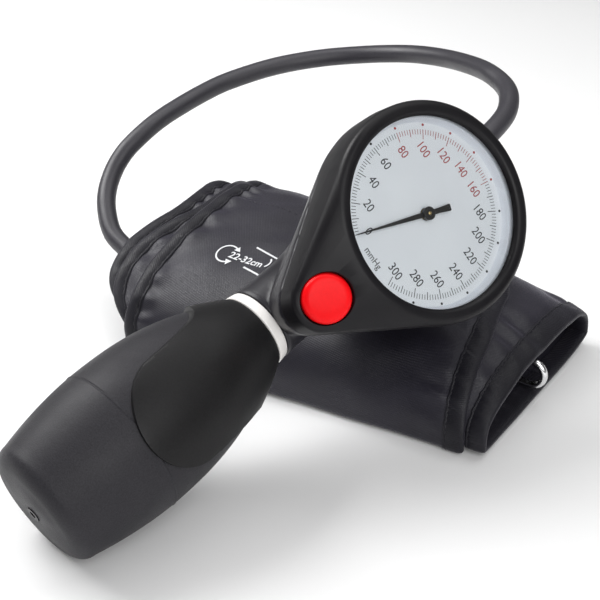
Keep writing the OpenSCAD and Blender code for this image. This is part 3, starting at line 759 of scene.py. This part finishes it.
def sleeve(paints):
    """The rubber sleeve: a band round the neck's end that runs out into a tongue under the thumb."""
    rows = np.linspace(BULB_START, 118, 70)
    outer = [(bulb_radius(d) + 1.6, d) for d in rows]
    inner = [(bulb_radius(d) + 0.02, d) for d in rows[::-1]]
    obj = revolved("grip_sleeve_rubber", outer + inner + [outer[0]], AXIS, 200, 40)
    back = [(-40, -130), (40, -130), (40, -66), (-40, -66)]
    cut(obj, prism("cutter", back, -90, AXIS_Z - 0.4))
    half, tip, fillet, shoulder = 17.2, -96.5, 14, -64
    side = [
        (half + fillet * (1 - cos(a)), shoulder - fillet * (1 - sin(a)))
        for a in np.linspace(pi / 2, 0, 20)
    ]
    side += [(half * cos(a), tip + half * sin(a)) for a in np.linspace(0, -pi / 2, 40)[1:]]
    outline = [(40, -130), (40, shoulder), *side, *[(-x, y) for x, y in side[-2::-1]]]
    outline += [(-40, shoulder), (-40, -130)]
    cut(obj, prism("cutter", outline, AXIS_Z - 1, 30))
    rounded(obj, 0.7)
    put(obj, paints["sleeve_rubber"], replaces=["grip_sleeve"])


def collar(paints):
    profile = [
        (9.4, 54.62), (12.15, 54.62), (12.38, 54.8), (12.5, 55.2), (12.9, 57.7), (12.86, 58.1),
        (12.65, 58.28), (9.4, 58.28), (9.4, 54.62),
    ]
    obj = revolved("collar_ring_white", profile, AXIS, 160, 50)
    put(obj, paints["ring_white"], replaces=["collar_ring"])


# ---------- cuff ----------

CUFF_W = 134.0
CLOTH_T = 1.25
WRAP_STEP = 1.9
BLADDER_INSET = 5.8
TAPE_LEFT, TAPE_RIGHT = 5.0, 6.5
FLOOR_ROOM = 0.03


def roll_point(x, a, inset=0.0):
    """The rolled cuff's surface, in millimetres from its corner: round on top, flatter below."""
    x, a = np.asarray(x, float), np.mod(np.asarray(a, float), 360)
    t = np.clip(-x / CUFF_W, 0, 1)
    upper = a < 180
    floor_edge = np.where(np.mod(a + 90, 360) < 180, 2.5 + 7.5 * np.clip(t * 3, 0, 1), 10.0)
    power = np.where(upper, 2.7 - 0.7 * t, floor_edge)
    side, peak = 6 + 2 * t, 50 + 5 * t
    front, back = 52.5 + 16.5 * t - inset, 36 - 3 * t - inset
    height = 21.7 + 17.8 * (1 - np.exp(np.minimum(x, 0) / 30)) / (1 - exp(-CUFF_W / 30))
    ca, sa = np.cos(np.radians(a)), np.sin(np.radians(a))
    c = np.abs(ca) ** (2 / power) * np.where(ca < 0, -front, back)
    s = np.abs(sa) ** (2 / power) * np.where(upper, height - side - inset, -np.maximum(side - inset, 1.0))
    return np.stack([x + 0 * a, peak + c, side + s], axis=-1)


def even_angles(count, start=0.0, span=360.0):
    """Angles that step evenly along the cloth, and the length at each."""
    dense = np.linspace(start, start + span, 6000)
    points = roll_point(-70.0, dense)
    length = np.concatenate([[0], np.cumsum(np.linalg.norm(np.diff(points, axis=0), axis=1))])
    even = np.linspace(0, length[-1], count)
    return np.interp(even, length, dense), even


def roll_normal(x, a, inset=0.0):
    along = roll_point(x + 0.5, a, inset) - roll_point(x - 0.5, a, inset)
    round_ = roll_point(x, a + 1.2, inset) - roll_point(x, a - 1.2, inset)
    normal = np.cross(round_, along)
    return normal / np.maximum(np.linalg.norm(normal, axis=-1, keepdims=True), 1e-9)


def edge_line(table, sway=0.0, phase=0.0):
    """An edge of a wrap: how far along the roll it lies at each angle."""
    angles = np.array([row[0] for row in table], float)
    places = np.array([row[1] for row in table], float)

    def place(a):
        a = np.asarray(a, float)
        near = [np.interp(a + step, angles, places, period=360) for step in (-9, -4.5, 0, 4.5, 9)]
        return sum(near) / 5 + sway * np.sin(np.radians(a * 7 + phase)) * np.cos(np.radians(a * 3 + phase))

    return place


def ripple(x, y, seed):
    """Smooth uneven waves between about -1 and 1, made of a few crossing sines."""
    chance = np.random.default_rng(int(seed * 10))
    total = 0.0
    for _ in range(6):
        angle, phase = chance.uniform(0, pi), chance.uniform(0, 2 * pi)
        pitch = chance.uniform(0.55, 1.3)
        total = total + np.sin(2 * pi * pitch * (x * cos(angle) + y * sin(angle)) + phase)
    return total / 3.4


class Wrap:
    """One turn of the cuff: its two edges, its depth in the roll, and how its cloth lies."""

    def __init__(self, left, right, inset, seed, depth, flap=False):
        self.left, self.right = left, right
        self.inset, self.seed, self.depth = inset, seed, depth
        self.start, self.span = (-12.0, 374.0) if flap else (0.0, 360.0)
        self.flap = flap

    def around(self, count):
        """Angles and lengths that go once round the wrap; a closed wrap leaves out the last."""
        a, s = even_angles(count + 1, self.start, self.span)
        return (a, s) if self.flap else (a[:-1], s[:-1])

    def length(self):
        return even_angles(2, self.start, self.span)[1][-1]

    def length_at(self, a):
        table_a, table_s = even_angles(2000, self.start, self.span)
        return np.interp(a, table_a, table_s)

    def angle_at(self, s):
        table_a, table_s = even_angles(2000, self.start, self.span)
        return np.interp(s, table_s, table_a)

    def lift(self, x, a, s):
        """How far the cloth stands off the plain roll: slow waves, and puckers beside the stitched edges."""
        slow = ripple(x / 34, s / 30, self.seed)
        fine = ripple(x / 12, s / 14, self.seed + 9)
        sway = 0.5 * ripple(s / 40, x * 0, self.seed + 3)
        puckers = 0.0
        left, right = x - self.left(a), self.right(a) - x
        for gap, width, pitch, high, reach in (
            (left, TAPE_LEFT, 11.5, 2.1, 3.2), (right, TAPE_RIGHT, 19.0, 1.9, 6.0),
        ):
            reach = high * np.exp(-((gap - width - 0.6 * reach) / reach) ** 2)
            puckers = puckers + reach * np.sin(2 * pi * (s / pitch + sway))
            puckers = puckers - 0.7 * np.exp(-((gap - width) / 1.1) ** 2)
        rest = 0.25 + 0.75 * np.sqrt(np.clip(np.sin(np.radians(a)), 0, 1))
        height = rest * (self.depth * (0.75 * slow + 0.28 * fine) + 0.42 * puckers)
        if self.flap:
            loose = 1 - np.clip((self.start + self.span - a - 8) / 50, 0, 1)
            height = height + 1.7 * loose ** 2 * (3 - 2 * loose)
        return height

    def at(self, x, a, s, above=0.0):
        lift = (self.lift(x, a, s) + above)[:, None]
        points = roll_point(x, a, self.inset) + roll_normal(x, a, self.inset) * lift
        points[:, 2] = np.maximum(points[:, 2], FLOOR_ROOM)
        return points

    def sheet(self, name):
        rows = 150
        a, s = self.around(260)
        left, right = self.left(a), self.right(a)
        points, uv = [], []
        for i in range(rows):
            x = left + (right - left) * i / (rows - 1)
            points += list(self.at(x, a, s))
            uv += [(x[j] * MM, s[j] * MM) for j in range(len(a))]
        faces = grid_faces(rows, len(a), wrap_cols=not self.flap, flip=True)
        obj = mesh_object(name, points, faces, CUFF, 70, uv)
        face_out(obj)
        thicken(obj, "cloth", CLOTH_T)
        return obj

    def tape(self, name, side, width):
        """The binding sewn round an edge: over the cloth, round its end and back inside."""
        a, s = self.around(360)
        edge = self.left(a) if side < 0 else self.right(a)
        profile = [
            (width, 0.05), (width - 0.2, 0.425), (width - 0.6, 0.5), (width - 0.9, 0.225), (width - 1.2, 0.5),
            (1.4, 0.55), (0.4, 0.45), (-0.35, 0.15), (-0.62, -0.5), (-0.5, 0.1 - CLOTH_T),
            (0.1, -0.35 - CLOTH_T), (1.4, -0.5 - CLOTH_T), (width - 0.3, -0.45 - CLOTH_T),
            (width, -0.05 - CLOTH_T),
        ]
        points, uv = [], []
        run = 0.0
        for k, (e, h) in enumerate(profile):
            if k:
                run += dist(profile[k], profile[k - 1])
            waver = 0.1 * np.sin(s * 2 * pi / 5.3) + 0.08 * np.sin(s * 2 * pi / 8.9 + self.seed)
            x = edge - side * (e + (waver if e > width - 1 else 0))
            points += list(self.at(x, a, s, h))
            uv += [(run * MM, s[j] * MM) for j in range(len(a))]
        faces = grid_faces(len(profile), len(a), wrap_cols=not self.flap)
        obj = mesh_object(name, points, faces, CUFF, 60, uv)
        face_out(obj)
        return obj

    def stitches(self, name, side, inset):
        """A row of stitches along an edge, one every 2.4 mm."""
        a, s = even_angles(int(self.length() / 2.4), self.start, self.span)
        edge = self.left(a) if side < 0 else self.right(a)
        return self.thread_row(name, edge - side * inset, a, s, 0.3, 1.7, 0.13)

    def thread_row(self, name, x, a, s, above, length, radius, along_x=False):
        """Stitches at the given places, round the roll or along it."""
        here = self.at(x, a, s, above)
        if along_x:
            ahead = self.at(x + 0.5, a, s, above)
        else:
            ahead = self.at(x, a + 0.4, s + 0.01, above)
        up = roll_normal(x, a, self.inset)
        rows = [[Vector(v) for v in row] for row in zip(here, ahead, up)]
        parts = [stitch(at, then - at, normal, length, radius) for at, then, normal in rows]
        return mesh_object(name, *merged(parts), CUFF, 80)


def stitch(at, along, up, length, radius):
    """One stitch: a short thread that dips into the cloth at both ends."""
    along = along.normalized()
    side = along.cross(up).normalized()
    up = side.cross(along)
    points = [tuple(at - along * length / 2 - up * radius)]
    for share in (-0.28, 0.28):
        for k in range(6):
            turn = radians(60 * k)
            out = side * cos(turn) + up * sin(turn)
            points.append(tuple(at + along * length * share + radius * out))
    points.append(tuple(at + along * length / 2 - up * radius))
    faces = [(0, 1 + (k + 1) % 6, 1 + k) for k in range(6)]
    faces += [(1 + k, 1 + (k + 1) % 6, 7 + (k + 1) % 6, 7 + k) for k in range(6)]
    faces += [(7 + k, 7 + (k + 1) % 6, 13) for k in range(6)]
    return points, faces


def face_out(obj):
    """Turns a sheet's faces away from the roll's middle."""
    middle = CUFF @ Vector((-70, 48, 15))
    total = 0.0
    for p in obj.data.polygons:
        out = p.center - middle
        total += p.normal.dot(Vector((0, out.y, out.z))) * p.area
    if total < 0:
        obj.data.flip_normals()


# The wraps' left and right edges, as angles round the roll and places along it
OUTER = Wrap(
    edge_line([
        (0, -136), (70, -138), (97, -137.3), (124, -138.3), (148, -137.7), (178, -136.7), (300, -136),
    ], 0.5),
    edge_line([
        (0, -40), (30, -38), (60, -31), (78, -23), (92, -17.2), (100, -14.2), (114, -11.8), (133, -9.4),
        (154, -7.3), (177, -6), (195, -6), (270, -12), (330, -24),
    ]),
    0.0, 1.3, 0.75, flap=True,
)
MIDDLE = Wrap(
    edge_line([
        (0, -144), (60, -146), (79, -142.7), (90, -141.4), (103, -141.9), (112, -143.1), (120, -147.6),
        (128, -149.7), (140, -150.6), (153, -149.2), (160, -147), (167, -143), (174, -138.5), (184, -134),
        (300, -134), (345, -142),
    ], 0.4, 40),
    edge_line([(0, 0.5), (100, 0), (180, 0.6), (270, 0.4)]),
    WRAP_STEP, 4.7, 0.55,
)
INNER = Wrap(
    edge_line([
        (0, -150), (60, -153), (84, -152.8), (101, -151.2), (110, -151.2), (119, -154.9), (128, -156.1),
        (138, -156.5), (150, -153.6), (158, -151), (164, -146.5), (171, -140), (180, -134), (300, -134),
        (345, -148),
    ], 0.4, 90),
    edge_line([(0, -24), (90, -22), (180, -25), (270, -24)], 0.8),
    2 * WRAP_STEP, 7.9, 0.5,
)


PRINT_LIFT = 0.2


def printed(name, parts, x0, a0, paints):
    """Flat printed shapes laid on the outer wrap: x runs along the roll and y runs up over it."""
    points, faces = merged(parts)
    x = np.array([x0 + p[0] for p in points])
    s = np.array([OUTER.length_at(a0) - p[1] for p in points])
    a = OUTER.angle_at(s)
    lifted = OUTER.at(x, a, s) + roll_normal(x, a) * np.array([PRINT_LIFT + p[2] for p in points])[:, None]
    obj = mesh_object(name, list(lifted), faces, CUFF, 60)
    return put(obj, paints["ink_white"])


def flat_shape(outline):
    return [(x, y, 0.0) for x, y in outline], [tuple(range(len(outline)))]


def strip(points):
    """A strip of quads between a row of points and the row after it."""
    count = len(points) // 2
    return points, [(k, k + 1, count + k + 1, count + k) for k in range(count - 1)]


def stroke(length, drop):
    """A straight stroke that starts at nought and falls by the drop."""
    along = np.linspace(0, 1, 16)
    return strip([(length * t, -drop * t + side, 0.0) for side in (-0.35, 0.35) for t in along])


def arc_band(r, half, from_, to, cx=0.0):
    """A curved stroke."""
    angles = np.radians(np.linspace(from_, to, 30))
    return strip([(cx + q * cos(t), q * sin(t), 0.0) for q in (r - half, r + half) for t in angles])


def arrow_head(r, angle, turn, size):
    t = radians(angle)
    tip = Vector((r * cos(t), r * sin(t)))
    ahead = Vector((-sin(t), cos(t))) * turn
    out = Vector((cos(t), sin(t)))
    return flat_shape([tip + ahead * size * 1.3, tip + out * size * 0.75, tip - out * size * 0.75])


def cuff_print(paints):
    """Arm range and index marks, in plain generic form."""
    arm = [arc_band(3.9, 0.3, 62, 298), arrow_head(3.9, 62, -1, 1.7), arrow_head(3.9, 298, 1, 1.7)]
    number = lettering("22-32cm", 4.1, 0.0, bold=0.09)
    pieces = [
        printed("cuff_print_arm", arm, -113.0, 123.0, paints),
        printed("cuff_print_range", [moved(number, 0, 0)], -104.6, 122.8, paints),
    ]
    marks = [
        (stroke(17, 3.0), -104.9, 115.6),
        (stroke(15, 2.8), -103.4, 126.6),
        (arc_band(3.0, 0.3, -46, 46, cx=-2.6), -95.8, 121.0),
    ]
    for k, (shape, x0, a0) in enumerate(marks):
        pieces.append(printed(f"cuff_print_mark_{k}", [shape], x0, a0, paints))
    return pieces


def flap_edge(paints):
    """The outer wrap's free end, folded under and stitched along the back of the roll."""
    end, last, count = OUTER.start + OUTER.span, OUTER.length(), 90
    share = np.linspace(0, 1, count)
    profile = [
        (6, 0.02), (5.7, 0.3), (4.5, 0.4), (1.2, 0.45), (0.2, 0.4), (-0.35, 0.1), (-0.45, -0.6), (0, -1.2),
        (1, -1.35),
    ]
    points, uv = [], []
    for e, h in profile:
        s = np.full(count, last - max(e, 0))
        a = OUTER.angle_at(s) + (0.25 if e < 0 else 0)
        x = OUTER.left(a) + 0.4 + (OUTER.right(a) - OUTER.left(a) - 0.8) * share
        points += list(OUTER.at(x, np.minimum(a, end), s, h))
        uv += [(e * MM, v * MM) for v in x]
    obj = mesh_object("cuff_flap_hem", points, grid_faces(len(profile), count), CUFF, 60, uv)
    put(obj, paints["cuff_tape"])
    rows = [obj]
    for k, back in enumerate((4.4, 5.3)):
        s = np.full(44, last - back)
        x = np.linspace(float(OUTER.left(end)) + 4, float(OUTER.right(end)) - 4, 44)
        name = f"cuff_flap_stitches_{k}"
        row = OUTER.thread_row(name, x, OUTER.angle_at(s), s, 0.5, 1.9, 0.17, along_x=True)
        rows.append(put(row, paints["thread"]))
    return rows


def top_seam(paints):
    """The stitched line over the top of the outer wrap that closes the bladder's pocket."""
    x = np.arange(-131, -24, 2.6)
    a = 91.5 + 2.6 * np.cos((x + 131) / 107 * pi)
    row = OUTER.thread_row("cuff_pocket_seam", x, a, OUTER.length_at(a), 0.06, 1.8, 0.15, along_x=True)
    return put(row, paints["thread"])


def cuff(paints):
    """The three turns of the rolled cuff, each with its tapes and stitches."""
    for name, wrap in (("outer", OUTER), ("middle", MIDDLE), ("inner", INNER)):
        obj = wrap.sheet(f"cuff_{name}_cloth")
        put(obj, paints["cuff_cloth"], replaces=[f"cuff_{name}_wrap"])
        trims = []
        for side, word, width in ((-1, "left", TAPE_LEFT), (1, "right", TAPE_RIGHT)):
            tape = wrap.tape(f"cuff_{name}_tape_{word}", side, width)
            trims.append(put(tape, paints["cuff_tape"]))
            row = wrap.stitches(f"cuff_{name}_stitches_{word}", side, width - 0.9)
            trims.append(put(row, paints["thread"]))
        if wrap.flap:
            trims += flap_edge(paints) + cuff_print(paints) + [top_seam(paints)]
        length = wrap.length() * MM
        width = float(np.mean(wrap.right(np.arange(360)) - wrap.left(np.arange(360)))) * MM


def bladder(paints):
    """The flat air bladder inside the roll."""
    a, s = (row[:-1] for row in even_angles(180))
    left, right = np.maximum(INNER.left(a) + 9, -140), -34
    rows = 60
    points = []
    for i in range(rows):
        x = left + (right - left) * (i / (rows - 1))
        pinch = 1.6 * (max(0, 1 - i / 3) + max(0, 1 - (rows - 1 - i) / 3))
        lift = (0.2 * ripple(x / 18, s / 20, 5.0) - 0.3 - 0.2 * pinch)[:, None]
        points += list(roll_point(x, a, BLADDER_INSET) + roll_normal(x, a, BLADDER_INSET) * lift)
    obj = mesh_object("cuff_bladder", points, grid_faces(rows, len(a), wrap_cols=True, flip=True), CUFF, 70)
    face_out(obj)
    thicken(obj, "rubber", 1.2)
    put(obj, paints["dark_rubber"], replaces=["bladder"])


RING = Matrix.Translation((-1.5, 39.2, 11.1)) @ Matrix.Rotation(radians(3.43), 4, "Y")
RING_LENGTH = 136.0
RING_END_R = 4.6
RING_WIRE_R = 1.3


def ring(paints):
    """The long wire loop that spans the cuff; it hangs in the roll and shows at the right end."""
    path = []
    for centre, start in ((0, 90), (-RING_LENGTH, -90)):
        bend = np.radians(np.arange(start, start - 181, -9))
        path += [(centre + RING_END_R * cos(t), 0, RING_END_R * sin(t)) for t in bend]
        step = -RING_LENGTH / 12 if centre == 0 else RING_LENGTH / 12
        level = path[-1][2]
        path += [(centre + step * k, 0, level) for k in range(1, 12)]
    obj = tube("cuff_ring_wire", [CUFF @ RING @ Vector(p) for p in path], RING_WIRE_R * MM, 24, closed=True)
    put(obj, paints["ring_chrome"], "cuff_ring", ["d_ring"])


def ring_strap(paints):
    """The inner end of the cuff, folded round the ring's upper bar and running up into the roll."""
    points, uv, lengths, cols = [], [], [], 70
    bend = np.radians(np.linspace(75, -255, 24))
    for x in np.linspace(-126, -10, cols):
        bar = RING @ Vector((x, 0, RING_END_R))
        hem = float(roll_point(x, 90, 8.4)[2]) if x < -38 else 0
        top = max(hem, bar.z + 2.7)
        wave = 0.3 * float(ripple(x / 25, 0.0, 2.2))
        path = [(0.4 + wave * (1 - k / 6), top + (bar.z + 2.2 - top) * k / 6) for k in range(6)]
        path += [(1.95 * cos(t), bar.z + 1.95 * sin(t)) for t in bend]
        path += [(-0.4 + wave * k / 6, bar.z + 2.2 + (top - bar.z - 2.2) * k / 6) for k in range(1, 7)]
        points += [(x, bar.y + y, z) for y, z in path]
        run = 0.0
        for k, p in enumerate(path):
            run += dist(p, path[k - 1]) if k else 0
            uv.append((x * MM, run * MM))
        lengths.append(run * MM)
    obj = mesh_object("cuff_ring_fold", points, grid_faces(cols, len(path)), CUFF, 70, uv)
    thicken(obj, "fold", 0.6, 0)
    put(obj, paints["cuff_tape"], replaces=["d_ring_tab"])


# The CAD nodes that stay as they are, and their materials
CARRIED = {
    "shell_screws": "steel", "lens": "lens_clear", "pinion_arbor": "brass", "hairspring": "brass",
    "movement_front_plate": "brass", "movement_rear_plate": "brass", "movement_pillars": "brass",
    "sector_gear": "brass", "rocker_shaft": "steel", "capsule_front": "brass", "capsule_rear": "brass",
    "capsule_pin": "steel", "air_block": "block_metal", "valve_stem": "steel", "valve_seal": "dark_rubber",
    "button_spring": "steel", "outlet_valve_seat": "block_metal", "outlet_valve_ball": "dark_rubber",
    "bulb_spigot": "inner_plastic", "inlet_valve_body": "head_plastic", "inlet_valve_ball": "dark_rubber",
    "hose_nipple": "block_metal", "strain_relief": "dark_rubber", "bladder_port": "dark_rubber",
}


# ---------- stage ----------

def stage():
    floor = mesh_object(
        "floor", [(-3, -3, 0), (3, -3, 0), (3, 3, 0), (-3, 3, 0)], [(0, 1, 2, 3)], Matrix.Identity(4)
    )
    n = Nodes("floor")
    tone = n.ramp(n.noise(3, 2), (0.90, 0.90, 0.90), (0.92, 0.92, 0.92))
    paint(floor, n.finish(tone, 0.6))
    world = bpy.data.worlds.new("studio")
    world.use_nodes = True
    world.node_tree.nodes["Background"].inputs["Color"].default_value = (1.0, 1.0, 1.0, 1)
    world.node_tree.nodes["Background"].inputs["Strength"].default_value = 0.17
    bpy.context.scene.world = world
    bpy.context.scene.view_settings.view_transform = "Standard"


def lamp(name, at, aim, size, power):
    data = bpy.data.lights.new(name, "AREA")
    data.shape = "RECTANGLE"
    data.size, data.size_y = size
    data.energy = power
    obj = bpy.data.objects.new(name, data)
    obj.location = at
    obj.rotation_euler = (Vector(aim) - Vector(at)).to_track_quat("-Z", "Y").to_euler()
    bpy.context.scene.collection.objects.link(obj)


def lights():
    lamp("key", (-0.55, -0.05, 0.60), (0.0, 0.02, 0.04), (0.50, 0.50), 6.4)
    lamp("top", (0.05, 0.30, 0.75), (0.0, 0.0, 0.04), (0.9, 0.5), 2.6)
    lamp("fill", (0.60, -0.42, 0.52), (0.04, 0.0, 0.06), (0.7, 0.7), 5.0)


def build():
    paints = materials()
    camera()
    hose(paints)
    head_front(paints)
    head_rear(paints)
    button(paints)
    dial(paints)
    collar(paints)
    bulb(paints)
    sleeve(paints)
    cuff(paints)
    bladder(paints)
    ring(paints)
    ring_strap(paints)
    for node, paint_name in CARRIED.items():
        paint(bpy.data.objects[node], paints[paint_name])
    stage()
    lights()


build()
